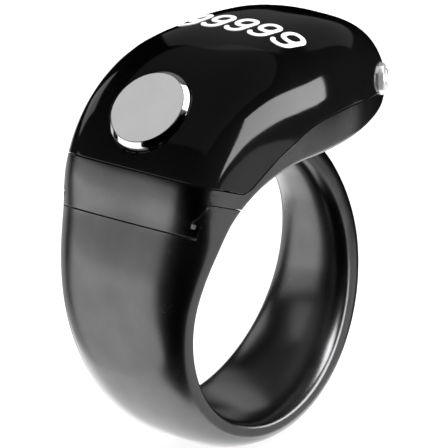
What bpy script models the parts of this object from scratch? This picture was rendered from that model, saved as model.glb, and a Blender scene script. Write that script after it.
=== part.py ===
"""Finger-ring tally counter, modelled as the separate parts it is assembled from.

The finger hole runs along Y and its centre is the origin. +Z points up through the display, the
large count button is on the -X slope of the head and the hinged band closes the ring below.
Lengths are written in millimetres and each finished part is scaled to metres.
"""
import math

import bmesh
import bpy
from mathutils import Matrix, Vector

MM = 0.001

# --- Driving dimensions (millimetres, degrees) -----------------------------------------------

BORE_RADIUS = 10.0
GAP = 0.08                      # clearance between mating parts
WALL_SIDE = 0.9                 # shell thickness of the head
WALL_TOP = 0.95
WALL_BASE = 0.8

# Ring part of the body: angle round the finger hole, thickness, half-width, crown fullness, height
# of the widest line, inside fullness and how far the inside bulges into the hole.
RING_FORM = (
    (430.0, 2.73, 2.49, 2.35, 0.9, 2.2, 0.4),
    (390.0, 3.3, 2.68, 2.35, 1.15, 2.1, 0.6),
    (360.0, 3.82, 3.23, 2.35, 1.25, 2.05, 0.7),
    (330.0, 3.92, 3.84, 2.35, 1.3, 2.05, 0.7),
    (300.0, 3.57, 4.39, 2.35, 1.3, 2.1, 0.6),
    (270.0, 3.03, 4.65, 2.35, 1.1, 2.4, 0.3),
    (240.0, 2.83, 4.69, 2.35, 0.9, 2.9, 0.1),
    (210.0, 2.9, 5.15, 2.4, 0.97, 3.2, 0.0),
    (180.0, 3.5, 5.85, 2.55, 1.28, 3.2, 0.0),
    (150.0, 4.5, 6.9, 2.8, 1.45, 3.2, 0.0),
    (135.0, 6.45, 7.05, 4.3, 1.45, 3.2, 0.0),
    (120.0, 7.9, 7.35, 4.4, 1.45, 3.2, 0.0),
    (105.0, 8.8, 7.65, 3.8, 1.45, 3.2, 0.0),
    (90.0, 9.3, 7.75, 3.1, 1.45, 3.2, 0.0),
)
# Straight part of the head: distance along X from the top of the hole, then the same columns.
BAR_FORM = (
    (4.0, 9.45, 7.45, 3.05, 1.45, 3.2, 0.0),
    (8.0, 8.95, 6.45, 3.2, 1.45, 3.2, 0.0),
    (12.0, 7.5, 4.75, 3.2, 1.45, 3.2, 0.0),
    (15.0, 5.1, 2.9, 3.2, 1.45, 3.2, 0.0),
)
TIP_REACH = 16.7                # where the head closes
TIP_RISE = 0.9                  # how far its underside rises there
TIP_TAPER_SIDE = 0.44           # how much of the width and height the last stretch loses
TIP_TAPER_TOP = 0.3             # before its rounding
TRAVEL_PER_DEGREE = 14.0 / 60.0
SIDE_STEPS = 10
FAR = 20.0                      # reach of the cutting blocks, well outside the body
HUB = 0.01                      # radius of the small flat face in the middle of a turned part

SPLIT_ANGLE = 20.0              # slope of the cover edge and of the parting line, rising to -X
COVER_CORNER = (-7.1, 9.85)
COVER_SPLIT = (
    (-6.6, 9.76),
    (-6.1, 9.89),
    (-5.4, 10.33),
    (-4.0, 11.25),
    (-2.1, 12.2),
    (1.1, 13.25),
    (5.2, 13.4),
    (11.0, 12.6),
    (19.0, 11.5),
)
PARTING_POINT = (-11.83, 7.4)

TONGUE_HEIGHT = 2.65
TONGUE_OUTER = -0.6             # measured from the parting point, outwards positive
BARB = ((-0.56, 0.95), (-0.02, 1.15), (-0.56, 2.5))    # outwards, upwards from the parting point

HINGE = (7.4, 11.35)
KNUCKLE_RADIUS = 1.2
KNUCKLE_HALF = 2.2
PIN_RADIUS = 0.5
PIN_HALF = 3.15
POCKET_HALF = 2.35
POCKET_RIGHT = 9.5
BAND_TOP = 9.85                 # the band ends just under the flat of the head

BUTTON_FACE = Vector((-9.25, 0.0, 15.62))
BUTTON_TILT = 44.0              # count button's axis, from +Z towards -X
CAP_RADIUS = 3.35
CAP_CHAMFER = 0.35
FLANGE_RADIUS = 3.85

RESET_FACE = Vector((13.35, -3.95, 13.0))
RESET_TURN = -50.0              # reset button's axis, from +X towards -Y
RESET_RADIUS = 0.82
BEZEL_RADIUS = 1.22

BOARD_BASE = 13.9
BOARD_THICKNESS = 0.6
SCREW_PLACES = ((3.9, -4.9), (3.9, 4.9))

DIGIT_PITCH = 2.03
DIGIT_HEIGHT = 2.75
DIGIT_WIDTH = 1.62
DIGIT_STROKE = 0.37
DIGIT_SLANT = 0.16
DIGIT_ROW = (1.5, -0.2)         # middle of the third digit
DIGIT_CLIMB = 0.24              # along X from one digit to the next

# Surface finishes: colour, roughness, metallic.
FINISHES = {
    "gloss_cover": ((0.012, 0.012, 0.013), 0.06, 0.0),
    "gunmetal": ((0.16, 0.16, 0.165), 0.32, 1.0),
    "satin_silver": ((0.62, 0.62, 0.63), 0.3, 1.0),
    "bright_steel": ((0.75, 0.75, 0.76), 0.12, 1.0),
    "white_digit": ((0.9, 0.9, 0.9), 0.4, 0.0),
    "board_green": ((0.02, 0.13, 0.06), 0.45, 0.0),
    "chip_black": ((0.02, 0.02, 0.022), 0.5, 0.0),
    "cell_steel": ((0.66, 0.66, 0.64), 0.28, 1.0),
    "silicone": ((0.06, 0.06, 0.065), 0.7, 0.0),
    "polyimide": ((0.55, 0.27, 0.05), 0.4, 0.0),
    "ceramic_tan": ((0.45, 0.33, 0.2), 0.55, 0.0),
}


# --- Body form ---------------------------------------------------------------------------------

def travel(angle):
    """Distance along the body's spine of an angle round the hole; 0 is the top of the hole."""
    return (90.0 - angle) * TRAVEL_PER_DEGREE


FORM = tuple((travel(row[0]), *row[1:]) for row in RING_FORM) + BAR_FORM


def smooth_value(at, column):
    """Cubic curve through one column of FORM."""
    knots = [row[0] for row in FORM]
    values = [row[column] for row in FORM]
    slopes = []
    last = len(FORM) - 1
    for index in range(len(FORM)):
        before = max(index - 1, 0)
        after = min(index + 1, last)
        slopes.append((values[after] - values[before]) / (knots[after] - knots[before]))
    slopes[0] = 2 * slopes[0] - slopes[1]
    slopes[last] = 2 * slopes[last] - slopes[last - 1]
    at = min(max(at, knots[0]), knots[-1])
    index = 0
    while index < last - 1 and at > knots[index + 1]:
        index += 1
    span = knots[index + 1] - knots[index]
    t = (at - knots[index]) / span
    start = (2 * t ** 3 - 3 * t ** 2 + 1) * values[index]
    start_slope = (t ** 3 - 2 * t ** 2 + t) * span * slopes[index]
    end = (3 * t ** 2 - 2 * t ** 3) * values[index + 1]
    end_slope = (t ** 3 - t ** 2) * span * slopes[index + 1]
    return start + start_slope + end + end_slope


def section_at(at):
    """Height, half-width, lip height, crown power and base rise of the body at a spine distance."""
    height = smooth_value(at, 1)
    half = smooth_value(at, 2)
    crown = smooth_value(at, 3)
    lip = smooth_value(at, 4)
    reach = BAR_FORM[-1][0]
    if at <= reach:
        return height, half, lip, crown, -smooth_value(at, 6)
    share = min((at - reach) / (TIP_REACH - reach), 0.998)
    closing = math.sqrt(1 - share ** 4)
    height *= closing * (1 - TIP_TAPER_TOP * share)
    half *= closing * (1 - TIP_TAPER_SIDE * share)
    return height, half, lip * closing, crown, TIP_RISE * (1 - closing)


def spine_at(at):
    """Point of the spine on the inside face and its outward direction, both in XZ."""
    if at >= 0:
        return Vector((at, 0, BORE_RADIUS)), Vector((0, 0, 1))
    angle = math.radians(90.0 - at / TRAVEL_PER_DEGREE)
    outward = Vector((math.cos(angle), 0, math.sin(angle)))
    return outward * BORE_RADIUS, outward


def section_ring(at, side=0.0, top=0.0, base=0.0):
    """One closed ring of points; side, top and base shrink it to make an inner surface."""
    height, half, lip, crown, rise = section_at(at)
    half = max(half - side, 0.15)
    height = max(height - top - base, 0.3)
    lip = min(max(lip - 0.5 * base, 0.25), 0.6 * height)
    origin, outward = spine_at(at)
    origin = origin + outward * (rise + base)
    inside = smooth_value(at, 5)
    right = []
    for step in range(SIDE_STEPS + 1):
        turn = math.radians(-90 + 180 * step / SIDE_STEPS)
        sine = abs(math.sin(turn))
        cosine = max(math.cos(turn), 0.0)
        if turn < 0:
            width = half * cosine ** (2 / inside)
            level = lip - lip * sine ** (2 / inside)
        else:
            width = half * cosine ** (2 / crown)
            level = lip + (height - lip) * sine ** (2 / crown)
        right.append((width, level))
    ends = (right[0], right[-1])
    left = [(-width, level) for width, level in reversed(right[1:-1])]
    profile = [(0.0, ends[0][1])] + right[1:-1] + [(0.0, ends[1][1])] + left
    return [origin + outward * level + Vector((0, width, 0)) for width, level in profile]


def crown_height(x, y):
    """Height of the head's outer surface over a point of the straight part."""
    height, half, lip, crown, rise = section_at(max(x, 0.0))
    share = min(abs(y) / half, 0.99)
    return BORE_RADIUS + rise + lip + (height - lip) * (1 - share ** crown) ** (1 / crown)


# --- Solid helpers -----------------------------------------------------------------------------

def new_object(name, mesh):
    item = bpy.data.objects.new(name, mesh)
    bpy.context.collection.objects.link(item)
    return item


def solid_from(name, points, faces):
    """Closed solid from points and faces, with its faces turned outwards."""
    mesh = bpy.data.meshes.new(name)
    mesh.from_pydata([tuple(point) for point in points], [], faces)
    work = bmesh.new()
    work.from_mesh(mesh)
    bmesh.ops.recalc_face_normals(work, faces=work.faces)
    work.to_mesh(mesh)
    work.free()
    return new_object(name, mesh)


def loft(name, rings):
    """Solid through a row of equal rings, closed by a face at both ends."""
    count = len(rings[0])
    points = [point for ring in rings for point in ring]
    faces = []
    for row in range(len(rings) - 1):
        for column in range(count):
            after = (column + 1) % count
            low = row * count
            high = low + count
            faces.append((low + column, low + after, high + after, high + column))
    faces.append(tuple(range(count)))
    final = (len(rings) - 1) * count
    faces.append(tuple(final + column for column in reversed(range(count))))
    return solid_from(name, points, faces)


def frame_matrix(origin, axis):
    """Frame with its Z along the axis and its Y kept as near to world Y as it can be."""
    up = Vector(axis).normalized()
    side = Vector((0, 1, 0)) - up * up.y
    if side.length < 0.1:
        side = Vector((0, 0, 1)) - up * up.z
    side.normalize()
    across = side.cross(up)
    turn = Matrix((across, side, up)).transposed().to_4x4()
    return Matrix.Translation(Vector(origin)) @ turn


def turned(name, profile, frame, segments=32):
    """Solid turned from (radius, height) points, closed by a small flat face at both ends."""
    rings = []
    for radius, height in profile:
        ring = []
        for step in range(segments):
            turn = 2 * math.pi * step / segments
            ring.append(frame @ Vector((radius * math.cos(turn), radius * math.sin(turn), height)))
        rings.append(ring)
    return loft(name, rings)


def tube(name, outer, inner, low, high, frame, segments=32):
    """Plain ring of rectangular section."""
    corners = ((outer, low), (outer, high), (inner, high), (inner, low))
    points = []
    for radius, height in corners:
        for step in range(segments):
            turn = 2 * math.pi * step / segments
            points.append(frame @ Vector((radius * math.cos(turn), radius * math.sin(turn), height)))
    faces = []
    for row in range(4):
        low_row = row * segments
        high_row = ((row + 1) % 4) * segments
        for column in range(segments):
            after = (column + 1) % segments
            faces.append((low_row + column, low_row + after, high_row + after, high_row + column))
    return solid_from(name, points, faces)


def prism(name, outline, low, high, frame=None):
    """Outline of (x, y) points extruded from low to high along the frame's Z."""
    frame = frame or Matrix.Identity(4)
    rings = [[frame @ Vector((x, y, level)) for x, y in outline] for level in (low, high)]
    return loft(name, rings)


def side_prism(name, outline, half):
    """Outline of (x, z) points extruded along Y to both sides of the middle plane."""
    rings = [[Vector((x, y, z)) for x, z in outline] for y in (-half, half)]
    return loft(name, rings)


def box(name, low, high, frame=None):
    outline = ((low[0], low[1]), (high[0], low[1]), (high[0], high[1]), (low[0], high[1]))
    return prism(name, outline, low[2], high[2], frame)


def combine(target, tool, operation):
    """Apply one Boolean to the target and drop the tool."""
    modifier = target.modifiers.new("combine", "BOOLEAN")
    modifier.object = tool
    modifier.operation = operation
    modifier.solver = "EXACT"
    graph = bpy.context.evaluated_depsgraph_get()
    result = bpy.data.meshes.new_from_object(target.evaluated_get(graph))
    target.modifiers.clear()
    target.data = result
    bpy.data.objects.remove(tool)
    return target


def cut(target, tool):
    return combine(target, tool, "DIFFERENCE")


def join(target, tool):
    return combine(target, tool, "UNION")


def keep(target, tool):
    return combine(target, tool, "INTERSECT")


def finish(item, finish_name, origin=(0.0, 0.0, 0.0), sharp=32.0):
    """Scale a part to metres, put its origin where it moves from, and give it its finish."""
    origin = Vector(origin)
    item.data.transform(Matrix.Scale(MM, 4) @ Matrix.Translation(-origin))
    item.location = origin * MM
    item.data.shade_smooth()
    item.data.set_sharp_from_angle(angle=math.radians(sharp))
    colour, roughness, metallic = FINISHES[finish_name]
    surface = bpy.data.materials.get(finish_name) or bpy.data.materials.new(finish_name)
    surface.use_nodes = True
    shader = surface.node_tree.nodes["Principled BSDF"]
    shader.inputs["Base Color"].default_value = (*colour, 1.0)
    shader.inputs["Roughness"].default_value = roughness
    shader.inputs["Metallic"].default_value = metallic
    item.data.materials.clear()
    item.data.materials.append(surface)
    return item


# --- Split planes ------------------------------------------------------------------------------

OUTWARD = Vector((-math.cos(math.radians(SPLIT_ANGLE)), 0, math.sin(math.radians(SPLIT_ANGLE))))
ACROSS = Vector((math.sin(math.radians(SPLIT_ANGLE)), 0, math.cos(math.radians(SPLIT_ANGLE))))
INTO_HOLE = -8.0                # a place along the parting plane that is inside the finger hole


def parting_place(outwards, upwards):
    """(x, z) of a place given along and across the parting plane."""
    start = Vector((PARTING_POINT[0], 0, PARTING_POINT[1]))
    place = start + OUTWARD * outwards + ACROSS * upwards
    return place.x, place.z


def above_parting(name, shift):
    """Everything above the parting plane moved across by shift, left of the hole's centre."""
    outline = [parting_place(FAR, shift), parting_place(INTO_HOLE, shift)]
    outline += [(-1.0, -2.0), (-1.0, 2 * FAR), parting_place(FAR, 2 * FAR)]
    return side_prism(name, outline, FAR)


def tongue_block(name, grow):
    """The step of the band that reaches up into the head, open to the finger hole."""
    outer = TONGUE_OUTER + grow
    outline = [parting_place(outer, -1.0), parting_place(outer, TONGUE_HEIGHT + grow)]
    outline += [parting_place(INTO_HOLE, TONGUE_HEIGHT + grow), parting_place(INTO_HOLE, -1.0)]
    return side_prism(name, outline, FAR)


def grown(outline, grow):
    """Convex outline, listed anticlockwise, with every side moved outwards by grow."""
    corners = []
    count = len(outline)
    for index in range(count):
        before = Vector(outline[index - 1])
        here = Vector(outline[index])
        after = Vector(outline[(index + 1) % count])
        first = (here - before).normalized()
        second = (after - here).normalized()
        first_out = Vector((first.y, -first.x))
        second_out = Vector((second.y, -second.x))
        mitre = (first_out + second_out).normalized()
        corners.append(here + mitre * (grow / mitre.dot(first_out)))
    return corners


def barb_block(name, grow):
    """The spring hook's triangle, against the outer side of the tongue."""
    outline = [parting_place(corner.x, corner.y) for corner in grown(BARB, grow)]
    return side_prism(name, outline, FAR)


def cover_zone(name, shift):
    """Everything above the line where the cover meets the housing, lowered by shift."""
    corner = Vector((COVER_CORNER[0], 0, COVER_CORNER[1]))
    start = corner + OUTWARD * FAR
    outline = [(start.x, start.z - shift), (corner.x, corner.z - shift)]
    outline += [(x, z - shift) for x, z in COVER_SPLIT]
    outline += [(FAR, 2 * FAR), (start.x, 2 * FAR)]
    return side_prism(name, outline, FAR)


# --- Head and band -----------------------------------------------------------------------------

def head_form(name):
    start = travel(158.0)
    reach = BAR_FORM[-1][0]
    rows = 18
    stations = [start + (reach - start) * step / rows for step in range(rows + 1)]
    for turn in (25, 45, 62, 76, 87):
        stations.append(reach + (TIP_REACH - reach) * math.sin(math.radians(turn)))
    return loft(name, [section_ring(at) for at in stations])


def head_cavity(name):
    start = travel(142.0)
    end = BAR_FORM[-1][0] + 0.3
    rows = 14
    stations = [start + (end - start) * step / rows for step in range(rows + 1)]
    room = loft(name, [section_ring(at, WALL_SIDE, WALL_TOP, WALL_BASE) for at in stations])
    floor = TONGUE_HEIGHT + 0.75
    outline = [parting_place(FAR, floor), parting_place(INTO_HOLE, floor)]
    outline += [parting_place(INTO_HOLE, -FAR), parting_place(FAR, -FAR)]
    cut(room, side_prism("cavity_floor", outline, FAR))
    return room


def circle(radius, segments, x=0.0, y=0.0):
    steps = [2 * math.pi * step / segments for step in range(segments)]
    return [(x + radius * math.cos(turn), y + radius * math.sin(turn)) for turn in steps]


def count_frame():
    tilt = math.radians(BUTTON_TILT)
    return frame_matrix(BUTTON_FACE, (-math.sin(tilt), 0, math.cos(tilt)))


def reset_frame():
    turn = math.radians(RESET_TURN)
    return frame_matrix(RESET_FACE, (math.cos(turn), math.sin(turn), 0.0))


def cut_button_holes(shell):
    cut(shell, prism("count_bore", circle(CAP_RADIUS + 0.07, 40), -6.0, 6.0, count_frame()))
    cut(shell, prism("flange_room", circle(FLANGE_RADIUS + 0.15, 40), -3.2, -1.27, count_frame()))
    cut_reset_hole(shell)
    return shell


def cut_reset_hole(shell):
    cut(shell, prism("reset_bore", circle(RESET_RADIUS + 0.28, 24), -2.6, 6.0, reset_frame()))
    cut(shell, prism("reset_seat", circle(BEZEL_RADIUS + 0.06, 24), -0.62, 6.0, reset_frame()))
    return shell


def make_top_cover():
    cover = head_form("top_cover")
    keep(cover, cover_zone("cover_part", 0.0))
    cut(cover, head_cavity("room"))
    cut_button_holes(cover)
    return finish(cover, "gloss_cover")


def make_lower_housing():
    housing = head_form("lower_housing")
    keep(housing, head_side("head_part"))
    cut(housing, cover_zone("cover_part", GAP))
    cut(housing, tongue_block("tongue_slot", GAP))
    cut(housing, barb_block("barb_slot", GAP))
    cut(housing, head_cavity("room"))
    add_posts(housing)
    pocket_low = (HINGE[0] - KNUCKLE_RADIUS - GAP, -POCKET_HALF, 8.0)
    pocket_high = (POCKET_RIGHT, POCKET_HALF, HINGE[1] + KNUCKLE_RADIUS + GAP)
    cut(housing, box("hinge_pocket", pocket_low, pocket_high))
    cut(housing, hinge_bar("pin_hole", PIN_RADIUS + 0.05, PIN_HALF + 0.1))
    for x, y in SCREW_PLACES:
        frame = Matrix.Translation((x, y, 0))
        cut(housing, prism("screw_hole", circle(0.45, 16), 11.3, 16.0, frame))
    cut_reset_hole(housing)
    cut(housing, prism("count_room", circle(FLANGE_RADIUS + 0.15, 40), -3.2, 6.0, count_frame()))
    return finish(housing, "gunmetal")


def add_posts(housing):
    """The block that holds the hinge pin and the two posts that carry the circuit board."""
    wall = 0.7
    low = (HINGE[0] - KNUCKLE_RADIUS - GAP - wall, -POCKET_HALF - 1.4, BORE_RADIUS + 0.4)
    high = (POCKET_RIGHT + wall, POCKET_HALF + 1.4, HINGE[1] + KNUCKLE_RADIUS + GAP + wall)
    join(housing, box("hinge_block", low, high))
    for x, y in SCREW_PLACES:
        frame = Matrix.Translation((x, y, 0))
        join(housing, prism("screw_post", circle(0.85, 16), BORE_RADIUS + 0.6, BOARD_BASE - 0.06, frame))


def head_side(name):
    """Everything that belongs to the head: above the parting plane, and all to its right."""
    outline = [parting_place(FAR, 0.5 * GAP), parting_place(INTO_HOLE, 0.5 * GAP), (FAR, 6.0)]
    outline += [(FAR, 2 * FAR), (parting_place(FAR, 0.0)[0], 2 * FAR)]
    return side_prism(name, outline, FAR)


def hinge_bar(name, radius, half, segments=20):
    frame = frame_matrix((HINGE[0], 0, HINGE[1]), (0, 1, 0))
    return prism(name, circle(radius, segments), -half, half, frame)


def make_band():
    rows = 34
    start = travel(426.0)
    end = travel(126.0)
    stations = [start + (end - start) * step / rows for step in range(rows + 1)]
    band = loft("band", [section_ring(at) for at in stations])
    above = above_parting("above", -0.5 * GAP)
    cut(above, tongue_block("tongue", 0.0))
    cut(band, above)
    cut(band, box("above_end", (0.0, -FAR, BAND_TOP), (FAR, FAR, 2 * FAR)))
    neck = [(6.6, 8.3), (8.1, 8.5), (HINGE[0] + 0.75, HINGE[1]), (HINGE[0] - 0.75, HINGE[1])]
    join(band, side_prism("neck", neck, KNUCKLE_HALF))
    join(band, hinge_bar("knuckle", KNUCKLE_RADIUS, KNUCKLE_HALF, 24))
    cut(band, hinge_bar("knuckle_bore", PIN_RADIUS + 0.05, FAR))
    return finish(band, "gunmetal", (HINGE[0], 0, HINGE[1]))


def make_latch_hook():
    rows = 6
    start = travel(156.0)
    end = travel(126.0)
    stations = [start + (end - start) * step / rows for step in range(rows + 1)]
    hook = loft("band_latch_hook", [section_ring(at, 0.02) for at in stations])
    keep(hook, barb_block("barb", 0.0))
    return finish(hook, "gunmetal", (HINGE[0], 0, HINGE[1]))


def make_hinge_pin():
    pin = hinge_bar("hinge_pin", PIN_RADIUS, PIN_HALF)
    return finish(pin, "bright_steel", (HINGE[0], 0, HINGE[1]))


# --- Count button ------------------------------------------------------------------------------

def make_count_button():
    frame = count_frame()
    centre = tuple(BUTTON_FACE)
    chamfer = CAP_RADIUS - CAP_CHAMFER
    face = [(HUB, 0.0), (chamfer, 0.0), (CAP_RADIUS, -CAP_CHAMFER), (CAP_RADIUS, -1.3), (HUB, -1.3)]
    finish(turned("count_button_cap", face, frame, 48), "satin_silver", centre)
    stem = [(HUB, -1.35), (FLANGE_RADIUS, -1.35), (FLANGE_RADIUS, -1.75)]
    stem += [(1.1, -1.75), (1.1, -3.0), (HUB, -3.0)]
    finish(turned("count_button_plunger", stem, frame), "chip_black", centre)
    finish(tube("count_button_spring", 1.8, 1.25, -3.82, -1.8, frame, 24), "silicone", centre)
    dome = [(HUB, -3.5), (0.5, -3.55), (0.95, -3.85), (HUB, -3.85)]
    finish(turned("count_switch_dome", dome, frame, 20), "bright_steel")
    finish(box("count_switch_body", (-1.7, -1.7, -4.8), (1.7, 1.7, -3.9), frame), "chip_black")
    finish(prism("count_switch_board", circle(2.6, 28), -5.25, -4.85, frame), "board_green")


# --- Reset button ------------------------------------------------------------------------------

def make_reset_button():
    frame = reset_frame()
    centre = tuple(RESET_FACE)
    finish(tube("reset_button_bezel", BEZEL_RADIUS, RESET_RADIUS + 0.06, -0.55, 0.35, frame, 28),
           "bright_steel")
    face = [(HUB, 0.35), (0.35, 0.32), (0.55, 0.55), (0.7, 0.55)]
    face += [(RESET_RADIUS, 0.4), (RESET_RADIUS, -0.7), (HUB, -0.7)]
    finish(turned("reset_button_cap", face, frame, 24), "bright_steel", centre)
    finish(prism("reset_button_stem", circle(0.35, 16), -1.55, -0.75, frame), "chip_black", centre)
    finish(tube("reset_button_spring", 0.75, 0.45, -1.95, -0.75, frame, 20), "silicone", centre)
    finish(prism("reset_switch_dome", circle(0.4, 16), -2.05, -1.9, frame), "bright_steel")
    finish(box("reset_switch_body", (-0.8, -0.8, -2.7), (0.8, 0.8, -2.1), frame), "chip_black")


# --- Electronics -------------------------------------------------------------------------------

def make_board():
    near_side = [(-3.0, -4.2), (2.6, -5.7), (6.2, -5.4), (10.4, -3.2)]
    outline = near_side + [(x, -y) for x, y in reversed(near_side)]
    board = prism("circuit_board", outline, BOARD_BASE, BOARD_BASE + BOARD_THICKNESS)
    for x, y in SCREW_PLACES:
        cut(board, prism("hole", circle(0.5, 16), 0.0, FAR, Matrix.Translation((x, y, 0))))
    finish(board, "board_green")
    top = BOARD_BASE + BOARD_THICKNESS + 0.05
    finish(box("microcontroller", (6.4, -1.5, top), (9.4, 1.5, top + 0.8)), "chip_black")
    finish(box("timing_crystal", (6.6, 2.0, top), (9.0, 3.0, top + 0.7)), "cell_steel")
    for number, y in enumerate((-2.4, -3.4), 1):
        finish(box(f"capacitor_{number}", (6.8, y - 0.3, top), (7.9, y + 0.3, top + 0.5)), "ceramic_tan")
    for number, (x, y) in enumerate(SCREW_PLACES, 1):
        frame = Matrix.Translation((x, y, top))
        shank = [(HUB, -2.7), (0.38, -2.7), (0.38, 0.0), (0.85, 0.0), (0.85, 0.3), (HUB, 0.4)]
        finish(turned(f"board_screw_{number}", shank, frame, 16), "bright_steel")


def make_battery():
    place = Matrix.Translation((0.5, 0, 0))
    cell = [(HUB, 11.2), (3.3, 11.2), (3.6, 11.45), (4.0, 11.45), (4.0, 13.25), (HUB, 13.25)]
    finish(turned("battery_cell", cell, place, 36), "cell_steel")
    finish(prism("battery_contact", circle(2.2, 24), 10.9, 11.12, place), "bright_steel")
    finish(prism("battery_insulator", circle(3.8, 30), 13.35, 13.5, place), "polyimide")


def make_display():
    base = BOARD_BASE + BOARD_THICKNESS + 0.55
    frame = box("display_frame", (-1.6, -5.6, base), (4.9, 5.6, base + 1.3))
    cut(frame, box("window", (-1.0, -5.0, base + 0.4), (4.3, 5.0, base + 5)))
    finish(frame, "chip_black")
    finish(box("display_panel", (-0.9, -4.9, base + 0.48), (4.2, 4.9, base + 1.5)), "chip_black")
    finish(box("display_flex", (5.0, -1.8, base - 0.5), (5.15, 1.8, base + 1.2)), "polyimide")


# --- Digits ------------------------------------------------------------------------------------

def stroke(name, route, centre, closed, low_lift, high_lift, width):
    """Flat stroke following a route of (across, up) points, laid over the crown of the cover."""
    count = len(route)
    rings = []
    for index in range(count):
        if closed:
            before, after = route[index - 1], route[(index + 1) % count]
        else:
            before, after = route[max(index - 1, 0)], route[min(index + 1, count - 1)]
        direction = Vector((after[0] - before[0], after[1] - before[1])).normalized()
        side = Vector((-direction.y, direction.x)) * (width / 2)
        ring = []
        for sign, lift in ((-1, low_lift), (1, low_lift), (1, high_lift), (-1, high_lift)):
            across = route[index][0] + sign * side.x
            up = route[index][1] + sign * side.y
            x = centre[0] + up
            y = centre[1] - across - DIGIT_SLANT * up
            ring.append(Vector((x, y, crown_height(x, y) + lift)))
        rings.append(ring)
    if not closed:
        return loft(name, rings)
    points = [point for ring in rings for point in ring]
    faces = []
    for index in range(count):
        low = index * 4
        high = ((index + 1) % count) * 4
        for corner in range(4):
            after = (corner + 1) % 4
            faces.append((low + corner, low + after, high + after, high + corner))
    return solid_from(name, points, faces)


def make_digit(number):
    """A nine: a round bowl and a tail that sweeps down and back."""
    steps = number - 3
    centre = (DIGIT_ROW[0] + DIGIT_CLIMB * steps, DIGIT_ROW[1] - DIGIT_PITCH * steps)
    half = (DIGIT_WIDTH - DIGIT_STROKE) / 2
    bowl_high = (DIGIT_HEIGHT * 0.62 - DIGIT_STROKE) / 2
    bowl_up = DIGIT_HEIGHT / 2 - DIGIT_STROKE / 2 - bowl_high
    bowl = []
    for step in range(14):
        turn = 2 * math.pi * step / 14
        bowl.append((half * math.cos(turn), bowl_up + bowl_high * math.sin(turn)))
    digit = stroke(f"digit_{number}", bowl, centre, True, 0.02, 0.1, DIGIT_STROKE)
    foot = -DIGIT_HEIGHT / 2 + DIGIT_STROKE / 2
    tail = [(half - 0.03, bowl_up + 0.14), (half - 0.01, bowl_up - 0.25)]
    for turn in (0, -25, -50, -75, -100, -125, -150):
        angle = math.radians(turn)
        tail.append((half * math.cos(angle), foot + half * 1.1 + half * 1.1 * math.sin(angle)))
    join(digit, stroke("tail", tail, centre, False, 0.035, 0.085, 0.9 * DIGIT_STROKE))
    return finish(digit, "white_digit")


def main():
    for item in list(bpy.data.objects):
        bpy.data.objects.remove(item)
    make_top_cover()
    make_lower_housing()
    make_band()
    make_latch_hook()
    make_hinge_pin()
    make_count_button()
    make_reset_button()
    make_board()
    make_battery()
    make_display()
    for number in range(1, 6):
        make_digit(number)


main()
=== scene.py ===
"""Finger-ring tally counter: finished surfaces over the CAD frame, studio light and camera.

Shapes are worked out in millimetres round the centre of the finger hole, which is the origin of
the frame, and are scaled to metres as each piece is finished.
"""
import math

import bmesh
import bpy
from mathutils import Matrix, Vector


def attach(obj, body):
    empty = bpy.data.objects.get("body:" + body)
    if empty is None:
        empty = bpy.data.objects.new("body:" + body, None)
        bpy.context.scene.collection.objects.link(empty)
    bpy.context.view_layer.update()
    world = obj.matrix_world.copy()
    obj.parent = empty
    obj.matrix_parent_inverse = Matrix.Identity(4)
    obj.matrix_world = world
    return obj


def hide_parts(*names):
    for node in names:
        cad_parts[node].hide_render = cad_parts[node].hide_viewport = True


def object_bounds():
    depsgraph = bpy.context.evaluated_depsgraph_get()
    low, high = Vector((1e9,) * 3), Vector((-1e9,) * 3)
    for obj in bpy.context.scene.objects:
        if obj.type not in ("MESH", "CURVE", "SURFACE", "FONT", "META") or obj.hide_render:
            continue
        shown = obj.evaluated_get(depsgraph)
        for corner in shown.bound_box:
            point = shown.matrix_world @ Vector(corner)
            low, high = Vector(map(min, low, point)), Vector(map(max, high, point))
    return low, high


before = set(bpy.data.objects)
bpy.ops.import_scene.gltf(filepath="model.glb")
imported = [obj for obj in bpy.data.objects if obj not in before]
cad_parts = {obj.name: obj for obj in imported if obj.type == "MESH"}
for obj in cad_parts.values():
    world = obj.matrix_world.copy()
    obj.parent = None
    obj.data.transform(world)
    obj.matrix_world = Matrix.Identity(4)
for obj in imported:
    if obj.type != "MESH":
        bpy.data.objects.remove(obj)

cad_low, cad_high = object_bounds()

MM = 0.001
FAR = 20.0
GAP = 0.08                      # seam between mating parts
WALL_SIDE = 0.9
WALL_TOP = 0.95
WALL_BASE = 0.8
BORE_RADIUS = 10.0

# Body form, rounded and partly adjusted from a fit to the photographed outline. Ring part:
# angle round the finger hole, thickness, half-width, crown fullness, height of the widest line,
# inside fullness and how far the inside bulges into the hole.
RING_FORM = (
    (430.0, 2.73, 2.49, 2.35, 0.9, 2.2, 0.4),
    (390.0, 3.3, 2.68, 2.35, 1.15, 2.1, 0.6),
    (360.0, 3.82, 3.23, 2.35, 1.25, 2.05, 0.7),
    (330.0, 3.92, 3.84, 2.35, 1.3, 2.05, 0.7),
    (300.0, 3.57, 4.39, 2.35, 1.3, 2.1, 0.6),
    (270.0, 3.03, 4.65, 2.35, 1.1, 2.4, 0.3),
    (240.0, 2.83, 4.69, 2.35, 0.9, 2.9, 0.1),
    (210.0, 2.9, 5.15, 2.4, 0.97, 3.2, 0.0),
    (180.0, 3.5, 5.85, 2.55, 1.28, 3.2, 0.0),
    (150.0, 4.5, 6.9, 2.8, 1.45, 3.2, 0.0),
    (135.0, 6.45, 7.05, 4.3, 1.45, 3.2, 0.0),
    (120.0, 7.9, 7.35, 4.4, 1.45, 3.2, 0.0),
    (105.0, 8.8, 7.65, 3.8, 1.45, 3.2, 0.0),
    (90.0, 9.3, 7.75, 3.1, 1.45, 3.2, 0.0),
)
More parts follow.
